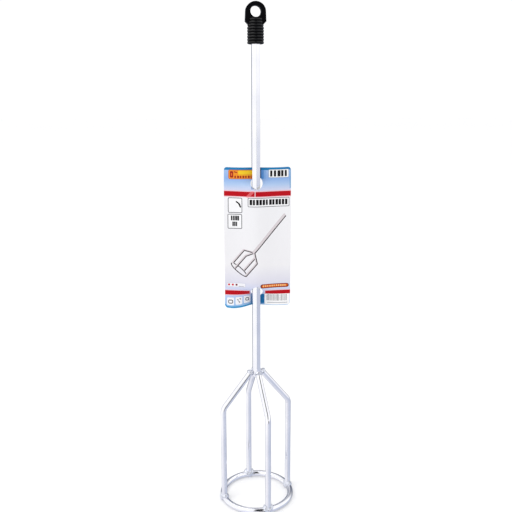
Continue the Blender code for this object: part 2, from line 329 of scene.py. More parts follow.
low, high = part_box("shaft")
bm = bmesh.new()
bmesh.ops.create_cone(
    bm,
    cap_ends=True,
    segments=6,
    radius1=BAR_ACROSS_FLATS / 2 / math.cos(math.pi / 6),
    radius2=BAR_ACROSS_FLATS / 2 / math.cos(math.pi / 6),
    depth=high.z - low.z,
    matrix=Matrix.Translation((0.0, 0.0, (low.z + high.z) / 2))
    @ Matrix.Rotation(BAR_TURN, 4, "Z"),
)
uprights = [e for e in bm.edges if abs(e.verts[0].co.z - e.verts[1].co.z) > BAR_ACROSS_FLATS]
bmesh.ops.bevel(
    bm, geom=uprights, offset=BAR_CORNER_ROUND, segments=4, profile=0.5, affect="EDGES"
)
rims = [e for e in bm.edges if abs(e.verts[0].co.z - e.verts[1].co.z) < BAR_CORNER_ROUND]
bmesh.ops.bevel(bm, geom=rims, offset=BAR_END_CHAMFER, segments=1, affect="EDGES")
bar_mesh = bpy.data.meshes.new("shaft_bar")
bm.to_mesh(bar_mesh)
shaft = finished("shaft_bar", bar_mesh, drawn_zinc, smooth_angle=25.0)
shaft.modifiers.new("flat faces", "WEIGHTED_NORMAL").keep_sharp = True
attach(shaft, "paddle")
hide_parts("shaft")

# ---------------------------------------------------------------------------------------------------------
# The wire cage. Four legs of 6 mm round wire, each bent once at its shoulder, stand on a ring rolled from
# the same wire and lean in to the end of the shaft. Wire that is bent and not drawn again stays smooth.
LEG_SLOPE = math.radians(39)
LEG_BEND_RADIUS = 0.011
LEG_SHOULDER_HEIGHT = 0.107
LEG_BITE = 0.0012
RING_STEPS = 128
WIRE_STEPS = 32
BEND_STEPS = 12

bent_zinc = plated_steel("bright zinc on round steel wire", (1.0, 1.0, 1.0))

low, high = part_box("ring")
wire_radius = (high.z - low.z) / 2
ring_radius = (high.x - low.x) / 2 - wire_radius

wire_tree = bpy.data.node_groups.new("bent wire", "GeometryNodeTree")
interface = wire_tree.interface
interface.new_socket("Path", in_out="INPUT", socket_type="NodeSocketGeometry")
sockets = {}
for socket_name, kind, value in (
    ("Wire Radius", "NodeSocketFloat", wire_radius),
    ("Bend Radius", "NodeSocketFloat", LEG_BEND_RADIUS),
    ("Bend Steps", "NodeSocketInt", BEND_STEPS),
    ("Round Steps", "NodeSocketInt", WIRE_STEPS),
    ("Finish", "NodeSocketMaterial", bent_zinc),
):
    socket = interface.new_socket(socket_name, in_out="INPUT", socket_type=kind)
    socket.default_value = value
    sockets[socket_name] = socket.identifier
interface.new_socket("Wire", in_out="OUTPUT", socket_type="NodeSocketGeometry")
given = add_node(wire_tree, "NodeGroupInput").outputs
bent = add_node(
    wire_tree,
    "GeometryNodeFilletCurve",
    {"mode": "POLY"},
    {"Curve": given["Path"], "Radius": given["Bend Radius"], "Count": given["Bend Steps"]},
)
section = add_node(
    wire_tree,
    "GeometryNodeCurvePrimitiveCircle",
    links={"Radius": given["Wire Radius"], "Resolution": given["Round Steps"]},
)
drawn_out = add_node(
    wire_tree,
    "GeometryNodeCurveToMesh",
    {"Fill Caps": True},
    {"Curve": bent.outputs[0], "Profile Curve": section.outputs[0]},
)
real = add_node(wire_tree, "GeometryNodeRealizeInstances", links={0: drawn_out.outputs[0]})
coated = add_node(
    wire_tree, "GeometryNodeSetMaterial", links={0: real.outputs[0], "Material": given["Finish"]}
)
add_node(wire_tree, "NodeGroupOutput", links={0: coated.outputs[0]})


def wire_mesh(name, points, closed, bend_radius):
    """Round wire along a path that starts as straight lines, with its corners bent round."""
    curve = bpy.data.curves.new(name, "CURVE")
    curve.dimensions = "3D"
    spline = curve.splines.new("POLY")
    spline.points.add(len(points) - 1)
    for point, place in zip(spline.points, points):
        point.co = (*place, 1.0)
    spline.use_cyclic_u = closed
    path = link_object(name, curve)
    wire = path.modifiers.new("bent wire", "NODES")
    wire.node_group = wire_tree
    wire[sockets["Bend Radius"]] = bend_radius
    return applied(path)


around = [math.tau * k / RING_STEPS for k in range(RING_STEPS)]
ring_path = [(ring_radius * math.cos(a), ring_radius * math.sin(a), wire_radius) for a in around]
ring = finished("ring_wire", wire_mesh("ring_path", ring_path, True, 0.0), bent_zinc, smooth_angle=60.0)
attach(ring, "paddle")
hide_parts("ring")

LEGS = ("right", "back", "left", "front")
leg_azimuths = {}
crown_radius = BAR_ACROSS_FLATS / 2 + wire_radius * math.cos(LEG_SLOPE)
crown_height = LEG_SHOULDER_HEIGHT + (ring_radius - crown_radius) / math.tan(LEG_SLOPE)
for leg in LEGS:
    low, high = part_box("foot_weld_" + leg)
    foot = (low + high) / 2
    azimuth = math.atan2(foot.y, foot.x)
    leg_azimuths[leg] = azimuth
    outline = [
        (ring_radius, wire_radius),
        (ring_radius, LEG_SHOULDER_HEIGHT),
        (
            crown_radius - LEG_BITE * math.sin(LEG_SLOPE),
            crown_height + LEG_BITE * math.cos(LEG_SLOPE),
        ),
    ]
    path = [(r * math.cos(azimuth), r * math.sin(azimuth), z) for r, z in outline]
    wire = finished(
        f"leg_{leg}_wire",
        wire_mesh(f"leg_{leg}_path", path, False, LEG_BEND_RADIUS),
        bent_zinc,
        smooth_angle=60.0,
    )
    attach(wire, "paddle")
    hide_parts("leg_" + leg)

# ---------------------------------------------------------------------------------------------------------
# The welds. A small bead of weld metal runs round the foot of each leg where it stands on the ring, and
# round its upper end where it meets the shaft. The plate covers them bright, with dark pits left by slag.
BEAD_RADIUS = 0.00155
BEAD_SPREAD = 0.25
BEAD_DROPS = 18
# rows of drops round a foot: height above the seam, reach from the leg's middle in wire radii, drop radius
FOOT_ROWS = ((-0.0014, 1.0, 0.0014), (0.0004, 1.0, 0.0018), (0.0022, 0.93, 0.0011))
BEAD_VOXEL = 0.00026
SMOOTH_PASSES = 5
PIT_SPACING = 0.0022


def add_drop(bm, place, radius):
    made = bmesh.ops.create_icosphere(bm, subdivisions=2, radius=radius)
    bmesh.ops.translate(bm, verts=made["verts"], vec=place)


def weld_mesh(name, bm):
    """Drops of weld metal flowed into one lumpy bead."""
    mesh = bpy.data.meshes.new(name)
    bm.to_mesh(mesh)
    bead = link_object(name, mesh)
    melt = bead.modifiers.new("melted", "REMESH")
    melt.mode = "VOXEL"
    melt.voxel_size = BEAD_VOXEL
    flow = bead.modifiers.new("flowed", "SMOOTH")
    flow.factor = 0.5
    flow.iterations = SMOOTH_PASSES
    return applied(bead)


weld_metal, tree, shader = new_material("zinc plated weld bead")
place = add_node(tree, "ShaderNodeTexCoord").outputs["Object"]
pits = add_node(
    tree,
    "ShaderNodeTexVoronoi",
    {"Scale": 1 / PIT_SPACING, "Randomness": 1.0},
    {"Vector": place},
)
pit = add_node(
    tree,
    "ShaderNodeMapRange",
    {"interpolation_type": "SMOOTHSTEP", "From Min": 0.24, "From Max": 0.12},
    {"Value": pits.outputs["Distance"]},
)
grain = add_node(
    tree, "ShaderNodeTexNoise", {"Scale": 1 / 0.0009, "Detail": 3.0}, {"Vector": place}
)
skin = add_node(
    tree,
    "ShaderNodeMix",
    {"data_type": "RGBA", 6: linear("#eef0f6"), 7: linear("#cfd3e0")},
    {0: grain.outputs[0]},
)
skin = add_node(
    tree,
    "ShaderNodeMix",
    {"data_type": "RGBA", 7: linear("#2a2b30")},
    {0: pit.outputs[0], 6: skin.outputs[2]},
)
dull = add_node(
    tree,
    "ShaderNodeMapRange",
    {"To Min": 0.22, "To Max": 0.42},
    {"Value": grain.outputs[0]},
)
rough = add_node(
    tree, "ShaderNodeBump", {"Strength": 0.35, "Distance": 0.00012}, {"Height": grain.outputs[0]}
)
shader.inputs["Metallic"].default_value = 1.0
tree.links.new(skin.outputs[2], shader.inputs["Base Color"])
tree.links.new(dull.outputs[0], shader.inputs["Roughness"])
tree.links.new(rough.outputs[0], shader.inputs["Normal"])

for number, leg in enumerate(LEGS):
    azimuth = leg_azimuths[leg]
    outward = Vector((math.cos(azimuth), math.sin(azimuth), 0.0))
    sideways = Vector((-outward.y, outward.x, 0.0))
    upward = Vector((0.0, 0.0, 1.0))

    foot_bead = bmesh.new()
    crown_bead = bmesh.new()
    lean = (upward * math.cos(LEG_SLOPE) - outward * math.sin(LEG_SLOPE)).normalized()
    across = lean.cross(sideways)
    crown = outward * crown_radius + upward * crown_height
    add_drop(crown_bead, crown, wire_radius)
    for drop in range(BEAD_DROPS):
        turn = math.tau * drop / BEAD_DROPS
        uneven = 1.0 + BEAD_SPREAD * noise.noise(Vector((drop * 0.7, number * 3.1, 0.5)))
        # the seam round a foot is a saddle: it sits high along the ring and dips on its two flanks
        for rise, reach, size in FOOT_ROWS:
            along_ring = wire_radius * (reach + 0.35 * abs(math.sin(turn)))
            seam_height = wire_radius * (1.0 + 0.93 * abs(math.sin(turn))) + rise
            seam = outward * (ring_radius + wire_radius * reach * math.cos(turn))
            seam += sideways * along_ring * math.sin(turn) + upward * seam_height
            add_drop(foot_bead, seam, size * uneven)
        collar = across * math.cos(turn) + sideways * math.sin(turn)
        add_drop(crown_bead, crown + collar * wire_radius * 0.88 - lean * 0.0004, BEAD_RADIUS * uneven)
    for name, bm in (("foot", foot_bead), ("crown", crown_bead)):
        bead = finished(
            f"{name}_bead_{leg}", weld_mesh(f"{name}_bead_{leg}", bm), weld_metal, smooth_angle=80.0
        )
        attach(bead, "paddle")
        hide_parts(f"{name}_weld_{leg}")

# ---------------------------------------------------------------------------------------------------------
# The hanger. A black polypropylene cap moulded in one piece and pushed onto the shank: a ribbed barrel that
# fingers can grip, and a flat plate with the eye that hangs on a shop hook. Its edges are softly rounded.
BARREL_RADIUS = 0.0081
BARREL_FOOT_ROUND = 0.0013
BARREL_STEPS = 96
RIB_COUNT = 9
TOP_RIBS = 3
TOP_SHARE = 0.87
RIB_DEPTH = 0.0006
BARREL_HEIGHT = 0.0236
SOCKET_RADIUS = 0.00492
SOCKET_DEPTH = 0.0217
EYE_RADIUS = 0.0052
EYE_BELOW_CREST = 0.0090
PLATE_THICKNESS = 0.0055
PLATE_HALF_WIDTH = 0.0101
HEAD_HALF_WIDTH = 0.0097
PLATE_SHOULDER = 0.0048
SHOULDER_BELOW_BARREL_TOP = 0.0032
PLATE_TURN = math.radians(9)
PLATE_ROUND = 0.0009

low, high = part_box("hanger_cap")
barrel_top = low.z + BARREL_HEIGHT
rib_pitch = BARREL_HEIGHT / RIB_COUNT

black, tree, shader = new_material("black moulded polypropylene")
place = add_node(tree, "ShaderNodeTexCoord").outputs["Object"]
# Moulded plastic: near black with a faint bloom, and the fine sparkle of the mould's eroded skin.
bloom = add_node(
    tree, "ShaderNodeTexNoise", {"Scale": 1 / 0.007, "Detail": 3.0}, {"Vector": place}
)
tone = add_node(
    tree,
    "ShaderNodeMix",
    {"data_type": "RGBA", 6: linear("#040406"), 7: linear("#0b0b0e")},
    {0: bloom.outputs[0]},
)
sheen = add_node(
    tree,
    "ShaderNodeMapRange",
    {"From Min": 0.3, "From Max": 0.7, "To Min": 0.20, "To Max": 0.30},
    {"Value": bloom.outputs[0]},
)
mould_skin = add_node(
    tree, "ShaderNodeTexNoise", {"Scale": 1 / 0.0005, "Detail": 2.0}, {"Vector": place}
)
relief = add_node(
    tree,
    "ShaderNodeBump",
    {"Strength": 0.12, "Distance": 0.0001},
    {"Height": mould_skin.outputs[0]},
)
# The crests of the ribs are given a higher specular level than the grooves between them and the plate: a
# painted highlight on the crests and painted shade in the grooves.
heights = add_node(tree, "ShaderNodeSeparateXYZ", links={0: place}).outputs
grooves = add_node(
    tree,
    "ShaderNodeMath",
    {"operation": "MULTIPLY_ADD", 1: 1 / rib_pitch, 2: -low.z / rib_pitch},
    {0: heights["Z"]},
)
crests = add_node(tree, "ShaderNodeMath", {"operation": "PINGPONG", 1: 0.5}, {0: grooves.outputs[0]})
crests = add_node(
    tree,
    "ShaderNodeMapRange",
    {"interpolation_type": "SMOOTHSTEP", "From Min": 0.18, "From Max": 0.42},
    {"Value": crests.outputs[0]},
)
below_plate = add_node(
    tree,
    "ShaderNodeMath",
    {"operation": "LESS_THAN", 1: barrel_top - SHOULDER_BELOW_BARREL_TOP - PLATE_SHOULDER},
    {0: heights["Z"]},
)
off_plate = add_node(
    tree,
    "ShaderNodeVectorMath",
    {"operation": "DOT_PRODUCT", 1: (-math.sin(PLATE_TURN), math.cos(PLATE_TURN), 0.0)},
    {0: place},
)
off_plate = add_node(
    tree, "ShaderNodeMath", {"operation": "ABSOLUTE"}, {0: off_plate.outputs["Value"]}
)
off_plate = add_node(
    tree, "ShaderNodeMath", {"operation": "GREATER_THAN", 1: 0.6 * PLATE_THICKNESS}, {0: off_plate.outputs[0]}
)
barrel = add_node(
    tree, "ShaderNodeMath", {"operation": "MAXIMUM"}, {0: below_plate.outputs[0], 1: off_plate.outputs[0]}
)
below_top = add_node(tree, "ShaderNodeMath", {"operation": "LESS_THAN", 1: barrel_top}, {0: heights["Z"]})
barrel = add_node(
    tree, "ShaderNodeMath", {"operation": "MULTIPLY"}, {0: barrel.outputs[0], 1: below_top.outputs[0]}
)
crest_highlight_mask = add_node(
    tree, "ShaderNodeMath", {"operation": "MULTIPLY"}, {0: crests.outputs[0], 1: barrel.outputs[0]}
)
# specular level for the painted highlight on the rib crests and the painted shade in the grooves
crest_highlight_level = add_node(
    tree, "ShaderNodeMapRange", {"To Min": 0.03, "To Max": 0.34}, {"Value": crest_highlight_mask.outputs[0]}
)
shader.inputs["IOR"].default_value = 1.49
tree.links.new(crest_highlight_level.outputs[0], shader.inputs["Specular IOR Level"])
tree.links.new(tone.outputs[2], shader.inputs["Base Color"])
tree.links.new(sheen.outputs[0], shader.inputs["Roughness"])
tree.links.new(relief.outputs[0], shader.inputs["Normal"])

# The ribs: one rounded hoop, repeated up the barrel.
rib_tree = bpy.data.node_groups.new("barrel ribs", "GeometryNodeTree")
interface = rib_tree.interface
interface.new_socket("Base", in_out="INPUT", socket_type="NodeSocketGeometry")
rib_inputs = {}
for socket_name, kind in (
    ("Count", "NodeSocketInt"),
    ("Pitch", "NodeSocketFloat"),
    ("Hoop Radius", "NodeSocketFloat"),
    ("Rib Radius", "NodeSocketFloat"),
    ("Lowest", "NodeSocketVector"),
    ("Top Ribs", "NodeSocketInt"),
    ("Top Share", "NodeSocketFloat"),
    ("Finish", "NodeSocketMaterial"),
):
    rib_inputs[socket_name] = interface.new_socket(
        socket_name, in_out="INPUT", socket_type=kind
    ).identifier
interface.new_socket("Ribs", in_out="OUTPUT", socket_type="NodeSocketGeometry")
given = add_node(rib_tree, "NodeGroupInput").outputs
step = add_node(rib_tree, "ShaderNodeCombineXYZ", links={"Z": given["Pitch"]})
places = add_node(
    rib_tree,
    "GeometryNodeMeshLine",
    links={"Count": given["Count"], "Start Location": given["Lowest"], "Offset": step.outputs[0]},
)
hoop = add_node(
    rib_tree,
    "GeometryNodeCurvePrimitiveCircle",
    {"Resolution": BARREL_STEPS},
    {"Radius": given["Hoop Radius"]},
)
section = add_node(
    rib_tree, "GeometryNodeCurvePrimitiveCircle", {"Resolution": 16}, {"Radius": given["Rib Radius"]}
)
rib = add_node(
    rib_tree,
    "GeometryNodeCurveToMesh",
    links={"Curve": hoop.outputs[0], "Profile Curve": section.outputs[0]},
)
last = add_node(rib_tree, "ShaderNodeMath", {"operation": "SUBTRACT", 1: 1.0}, {0: given["Count"]})
full = add_node(
    rib_tree, "ShaderNodeMath", {"operation": "SUBTRACT"}, {0: last.outputs[0], 1: given["Top Ribs"]}
)
number = add_node(rib_tree, "GeometryNodeInputIndex")
size = add_node(
    rib_tree,
    "ShaderNodeMapRange",
    {"To Min": 1.0},
    {
        "Value": number.outputs[0],
        "From Min": full.outputs[0],
        "From Max": last.outputs[0],
        "To Max": given["Top Share"],
    },
)
ribs = add_node(
    rib_tree,
    "GeometryNodeInstanceOnPoints",
    links={"Points": places.outputs[0], "Instance": rib.outputs[0], "Scale": size.outputs[0]},
)
real = add_node(rib_tree, "GeometryNodeRealizeInstances", links={0: ribs.outputs[0]})
coated = add_node(
    rib_tree, "GeometryNodeSetMaterial", links={0: real.outputs[0], "Material": given["Finish"]}
)
add_node(rib_tree, "NodeGroupOutput", links={0: coated.outputs[0]})

rib_radius = 0.5 * rib_pitch
rib_maker = link_object("barrel_ribs", bpy.data.meshes.new("barrel_ribs"))
repeat = rib_maker.modifiers.new("barrel ribs", "NODES")
repeat.node_group = rib_tree
for socket_name, value in (
    ("Count", RIB_COUNT - 1),
    ("Pitch", rib_pitch),
    ("Hoop Radius", BARREL_RADIUS - rib_radius),
    ("Rib Radius", rib_radius),
    ("Lowest", (0.0, 0.0, low.z + 1.5 * rib_pitch)),
    ("Top Ribs", TOP_RIBS),
    ("Top Share", TOP_SHARE),
    ("Finish", black),
):
    repeat[rib_inputs[socket_name]] = value
rib_mesh = applied(rib_maker)


def turned_mesh(name, profile, steps):
    """A solid turned about the Z axis from an outline of radius and height that starts and ends on it."""
    bm = bmesh.new()
    points = [bm.verts.new((r, 0.0, z)) for r, z in profile]
    edges = [bm.edges.new(pair) for pair in zip(points, points[1:])]
    bmesh.ops.spin(bm, geom=points + edges, cent=(0, 0, 0), axis=(0, 0, 1), angle=math.tau, steps=steps)
    bmesh.ops.remove_doubles(bm, verts=bm.verts, dist=1e-6)
    bmesh.ops.recalc_face_normals(bm, faces=bm.faces)
    mesh = bpy.data.meshes.new(name)
    bm.to_mesh(mesh)
    return mesh


core_radius = BARREL_RADIUS - RIB_DEPTH
foot_arc = [
    (
        BARREL_RADIUS - BARREL_FOOT_ROUND + BARREL_FOOT_ROUND * math.cos(a),
        low.z + BARREL_FOOT_ROUND - BARREL_FOOT_ROUND * math.sin(a),
    )
    for a in (math.pi / 2 * k / 6 for k in range(7))
]
core_profile = [
    (0.0, barrel_top),
    (TOP_SHARE * core_radius - 0.0004, barrel_top),
    (TOP_SHARE * core_radius, barrel_top - 0.0004),
    (core_radius, barrel_top - (TOP_RIBS + 0.5) * rib_pitch),
    (core_radius, low.z + rib_pitch),
    *foot_arc,
    (0.0, low.z),
]
core = link_object("hanger_core", turned_mesh("hanger_core", core_profile, BARREL_STEPS))

eye_height = high.z - EYE_BELOW_CREST
shoulder = barrel_top - SHOULDER_BELOW_BARREL_TOP
crest = EYE_BELOW_CREST / HEAD_HALF_WIDTH
half_turn = [math.pi * k / 40 for k in range(41)]
plate_outline = [
    (PLATE_HALF_WIDTH - PLATE_SHOULDER, shoulder - PLATE_SHOULDER),
    (PLATE_HALF_WIDTH, shoulder),
    *[(HEAD_HALF_WIDTH * math.cos(a), eye_height + crest * HEAD_HALF_WIDTH * math.sin(a)) for a in half_turn],
    (-PLATE_HALF_WIDTH, shoulder),
    (PLATE_SHOULDER - PLATE_HALF_WIDTH, shoulder - PLATE_SHOULDER),
]
eye_rim = [
    (EYE_RADIUS * math.cos(math.tau * k / 56), eye_height + EYE_RADIUS * math.sin(math.tau * k / 56))
    for k in range(56)
]
plate_curve = bpy.data.curves.new("hanger_plate", "CURVE")
plate_curve.dimensions = "2D"
plate_curve.fill_mode = "BOTH"
plate_curve.extrude = PLATE_THICKNESS / 2
for outline in (plate_outline, eye_rim):
    spline = plate_curve.splines.new("POLY")
    spline.points.add(len(outline) - 1)
    for point, (x, z) in zip(spline.points, outline):
        point.co = (x, z, 0.0, 1.0)
    spline.use_cyclic_u = True
plate_mesh = applied(link_object("hanger_plate", plate_curve))
bm = bmesh.new()
bm.from_mesh(plate_mesh)
bmesh.ops.remove_doubles(bm, verts=bm.verts, dist=1e-6)
bmesh.ops.dissolve_limit(bm, angle_limit=0.01, verts=bm.verts, edges=bm.edges)
rims = [e for e in bm.edges if len(e.link_faces) == 2 and e.calc_face_angle() > math.radians(60)]
bmesh.ops.bevel(bm, geom=rims, offset=PLATE_ROUND, segments=4, profile=0.6, affect="EDGES", clamp_overlap=True)
bm.transform(Matrix.Rotation(PLATE_TURN, 4, "Z") @ Matrix.Rotation(math.pi / 2, 4, "X"))
bmesh.ops.recalc_face_normals(bm, faces=bm.faces)
bm.to_mesh(plate_mesh)
plate = link_object("hanger_plate", plate_mesh)
rib_solid = link_object("hanger_ribs", rib_mesh)

socket_profile = [
    (0.0, low.z + SOCKET_DEPTH),
    (SOCKET_RADIUS - 0.0005, low.z + SOCKET_DEPTH),
    (SOCKET_RADIUS, low.z + SOCKET_DEPTH - 0.0005),
    (SOCKET_RADIUS, low.z + 0.0008),
    (SOCKET_RADIUS + 0.0012, low.z - 0.0004),
    (0.0, low.z - 0.0004),
]
socket_room = link_object("hanger_socket", turned_mesh("hanger_socket", socket_profile, 64))
for operation, other in (("UNION", rib_solid), ("UNION", plate), ("DIFFERENCE", socket_room)):
    joined = core.modifiers.new(operation.lower(), "BOOLEAN")
    joined.operation = operation
    joined.solver = "EXACT"
    joined.object = other
hanger_mesh = applied(core)
for other in (rib_solid, plate, socket_room):
    bpy.data.objects.remove(other)
hanger = finished("hanger_moulding", hanger_mesh, black, smooth_angle=35.0)
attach(hanger, "hanger")
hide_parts("hanger_cap")

# ---------------------------------------------------------------------------------------------------------
# The display card. A sheet of 0.5 mm folding board, printed in colour on its front, glossed and die cut with
# two holes. The shaft is threaded through them, so the card runs behind it, in front of it and behind again.
CARD_WIDTH = 0.0676
CARD_HEIGHT = 0.143
CARD_THICKNESS = 0.0005
CARD_SIDE_SHIFT = 0.0015
CARD_CORNER = 0.003
CARD_HOLE_RADIUS = 0.0060
CARD_HOLE_SIDE_SHIFT = 0.0007
CARD_HOLE_INSET = 0.0154
CARD_TURN_HEIGHT = 0.0114
CARD_STANDOFF = 0.0054188
CARD_BULGE_WIDTH = 0.015
CARD_TOP_LAG = 0.012
CARD_BOTTOM_LAG = 0.0045
CARD_CURL = 0.0115
CARD_CURL_HEIGHT = 0.026
CARD_CELL = 0.0015
BAR_CORNER_RADIUS = BAR_ACROSS_FLATS / 2 / math.cos(math.pi / 6)
MM = 0.001


def smooth_step(share):
    share = min(1.0, max(0.0, share))
    return share * share * (3.0 - 2.0 * share)


def card_depth(x, height):
    """Y of the card's middle surface, where x is from the bar's axis and height from its foot."""
    lower, upper = CARD_HOLE_INSET, CARD_HEIGHT - CARD_HOLE_INSET
    in_front = smooth_step((height - lower) / CARD_TURN_HEIGHT + 0.5)
    in_front -= smooth_step((height - upper) / CARD_TURN_HEIGHT + 0.5)
    at_bar = CARD_STANDOFF * (1.0 - 2.0 * in_front) * math.exp(-((x / CARD_BULGE_WIDTH) ** 2))
    from_middle = 2.0 * height / CARD_HEIGHT - 1.0
    lag = CARD_TOP_LAG if from_middle > 0.0 else CARD_BOTTOM_LAG
    side = lag * from_middle**2 * (2.0 * x / CARD_WIDTH) ** 2
    to_side = (-x - BAR_CORNER_RADIUS) / (CARD_WIDTH / 2 - BAR_CORNER_RADIUS)
    fade = max(0.0, 1.0 - height / CARD_CURL_HEIGHT) ** 2
    curl = CARD_CURL * fade * math.sin(0.75 * math.pi * min(1.0, max(0.0, to_side)))
    return at_bar + side - curl


card_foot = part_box("display_card")[0].z
left_edge = CARD_SIDE_SHIFT - CARD_WIDTH / 2
outline = []
for corner in range(4):
    side_x = 1 if corner in (0, 3) else -1
    side_y = 1 if corner in (0, 1) else -1
    for k in range(7):
        a = math.pi / 2 * (corner + k / 6)
        outline.append(
            Vector(
                (
                    CARD_SIDE_SHIFT + side_x * (CARD_WIDTH / 2 - CARD_CORNER) + CARD_CORNER * math.cos(a),
                    CARD_HEIGHT / 2 + side_y * (CARD_HEIGHT / 2 - CARD_CORNER) + CARD_CORNER * math.sin(a),
                )
            )
        )
straights = []
for first, second in zip(outline, outline[1:] + outline[:1]):
    steps = max(1, round((second - first).length / CARD_CELL))
    straights += [first.lerp(second, k / steps) for k in range(steps)]
outline = straights
hole_middles = [
    Vector((CARD_HOLE_SIDE_SHIFT, height)) for height in (CARD_HOLE_INSET, CARD_HEIGHT - CARD_HOLE_INSET)
]
loops = [outline]
for middle in hole_middles:
    rim = [math.tau * k / 48 for k in range(48)]
    loops.append([middle + CARD_HOLE_RADIUS * Vector((math.cos(a), math.sin(a))) for a in rim])
points, edges = [], []
for loop in loops:
    first = len(points)
    points += loop
    edges += [(first + k, first + (k + 1) % len(loop)) for k in range(len(loop))]
margin = 0.4 * CARD_CELL
columns, rows = round(CARD_WIDTH / CARD_CELL), round(CARD_HEIGHT / CARD_CELL)
for column in range(1, columns):
    for row in range(1, rows):
        spot = Vector((left_edge + CARD_WIDTH * column / columns, CARD_HEIGHT * row / rows))
        clear_of_holes = all((spot - m).length > CARD_HOLE_RADIUS + margin for m in hole_middles)
        in_corner = min(spot.x - left_edge, left_edge + CARD_WIDTH - spot.x) < CARD_CORNER
        in_corner = in_corner and min(spot.y, CARD_HEIGHT - spot.y) < CARD_CORNER
        if clear_of_holes and not in_corner:
            points.append(spot)
flat_points, _, triangles, *_ = geometry.delaunay_2d_cdt(points, edges, [list(range(len(outline)))], 1, 1e-7)
bm = bmesh.new()
verts = [bm.verts.new((p.x, 0.0, p.y)) for p in flat_points]
for triangle in triangles:
    middle = sum((flat_points[k] for k in triangle), Vector((0.0, 0.0))) / 3
    if all((middle - m).length > CARD_HOLE_RADIUS * 0.995 for m in hole_middles):
        bm.faces.new([verts[k] for k in triangle])
bmesh.ops.delete(bm, geom=[v for v in bm.verts if not v.link_faces], context="VERTS")
layout = bm.loops.layers.uv.new("card_layout")
for face in bm.faces:
    for loop in face.loops:
        loop[layout].uv = (
            (loop.vert.co.x - left_edge) / CARD_HEIGHT,
            loop.vert.co.z / CARD_HEIGHT,
        )
for vert in bm.verts:
    vert.co.y = card_depth(vert.co.x, vert.co.z)
    vert.co.z += card_foot
bmesh.ops.recalc_face_normals(bm, faces=bm.faces)
if sum(f.normal.y * f.calc_area() for f in bm.faces) > 0:
    bmesh.ops.reverse_faces(bm, faces=bm.faces)
sheet_mesh = bpy.data.meshes.new("card_sheet")
bm.to_mesh(sheet_mesh)
sheet_mesh.polygons.foreach_set("use_smooth", [True] * len(sheet_mesh.polygons))
sheet = link_object("card_sheet", sheet_mesh)
for slot_name in ("front", "back"):
    sheet_mesh.materials.append(bpy.data.materials.new(slot_name))
board = sheet.modifiers.new("board thickness", "SOLIDIFY")
board.thickness = CARD_THICKNESS
board.offset = 0.0
board.use_even_offset = True
board.use_quality_normals = True
board.material_offset = 1
board.material_offset_rim = 1
card_mesh = applied(sheet)


def drawing_group(name, inputs):
    """A node group that works out where one printed shape lies. It gives 1 on the shape and 0 off it."""
    group = bpy.data.node_groups.new(name, "ShaderNodeTree")
    for socket_name, kind in inputs:
        group.interface.new_socket(socket_name, in_out="INPUT", socket_type=kind)
    group.interface.new_socket("Ink", in_out="OUTPUT", socket_type="NodeSocketFloat")
    return group, add_node(group, "NodeGroupInput").outputs


# A box with round corners. Core is half its size less the corner's radius.
box_group, given = drawing_group(
    "printed box",
    [
        ("Place", "NodeSocketVector"),
        ("Middle", "NodeSocketVector"),
        ("Core", "NodeSocketVector"),
        ("Corner", "NodeSocketFloat"),
    ],
)
away = add_node(
    box_group, "ShaderNodeVectorMath", {"operation": "SUBTRACT"}, {0: given["Place"], 1: given["Middle"]}
)
away = add_node(box_group, "ShaderNodeVectorMath", {"operation": "ABSOLUTE"}, {0: away.outputs[0]})
away = add_node(
    box_group, "ShaderNodeVectorMath", {"operation": "SUBTRACT"}, {0: away.outputs[0], 1: given["Core"]}
)
away = add_node(box_group, "ShaderNodeVectorMath", {"operation": "MAXIMUM"}, {0: away.outputs[0]})
away = add_node(box_group, "ShaderNodeVectorMath", {"operation": "LENGTH"}, {0: away.outputs[0]})
inside = add_node(
    box_group,
    "ShaderNodeMath",
    {"operation": "LESS_THAN"},
    {0: away.outputs["Value"], 1: given["Corner"]},
)
add_node(box_group, "NodeGroupOutput", links={0: inside.outputs[0]})

# A straight line with round ends, from Start along Run.
line_group, given = drawing_group(
    "printed line",
    [
        ("Place", "NodeSocketVector"),
        ("Start", "NodeSocketVector"),
        ("Run", "NodeSocketVector"),
        ("Corner", "NodeSocketFloat"),
    ],
)
away = add_node(
    line_group, "ShaderNodeVectorMath", {"operation": "SUBTRACT"}, {0: given["Place"], 1: given["Start"]}
)
along = add_node(
    line_group, "ShaderNodeVectorMath", {"operation": "DOT_PRODUCT"}, {0: away.outputs[0], 1: given["Run"]}
)
whole = add_node(
    line_group, "ShaderNodeVectorMath", {"operation": "DOT_PRODUCT"}, {0: given["Run"], 1: given["Run"]}
)
share = add_node(
    line_group,
    "ShaderNodeMath",
    {"operation": "DIVIDE"},
    {0: along.outputs["Value"], 1: whole.outputs["Value"]},
)
share = add_node(line_group, "ShaderNodeMath", {"operation": "MAXIMUM", 1: 0.0}, {0: share.outputs[0]})
share = add_node(line_group, "ShaderNodeMath", {"operation": "MINIMUM", 1: 1.0}, {0: share.outputs[0]})
nearest = add_node(
    line_group,
    "ShaderNodeVectorMath",
    {"operation": "SCALE"},
    {0: given["Run"], "Scale": share.outputs[0]},
)
away = add_node(
    line_group, "ShaderNodeVectorMath", {"operation": "DISTANCE"}, {0: away.outputs[0], 1: nearest.outputs[0]}
)
inside = add_node(
    line_group,
    "ShaderNodeMath",
    {"operation": "LESS_THAN"},
    {0: away.outputs["Value"], 1: given["Corner"]},
)
add_node(line_group, "NodeGroupOutput", links={0: inside.outputs[0]})

# What is printed, and the painted shadow and painted highlight drawn in among the print, in millimetres from
# the card's lower left corner, from the first ink to the last. A box is its left, foot, right and top, and its
# corners' radius. A line is its two ends and its width. Strength is how much of the ink under it a shape
# hides. All marks are plain bars and blocks that spell nothing.
printed = []


def draw_box(colour, left, foot, right, top, corner=0.0, strength=1.0):
    printed.append(("box", colour, (left, foot, right, top), corner, strength))


def draw_line(colour, start, end, width, strength=1.0):
    printed.append(("line", colour, (*start, *end), width / 2, strength))


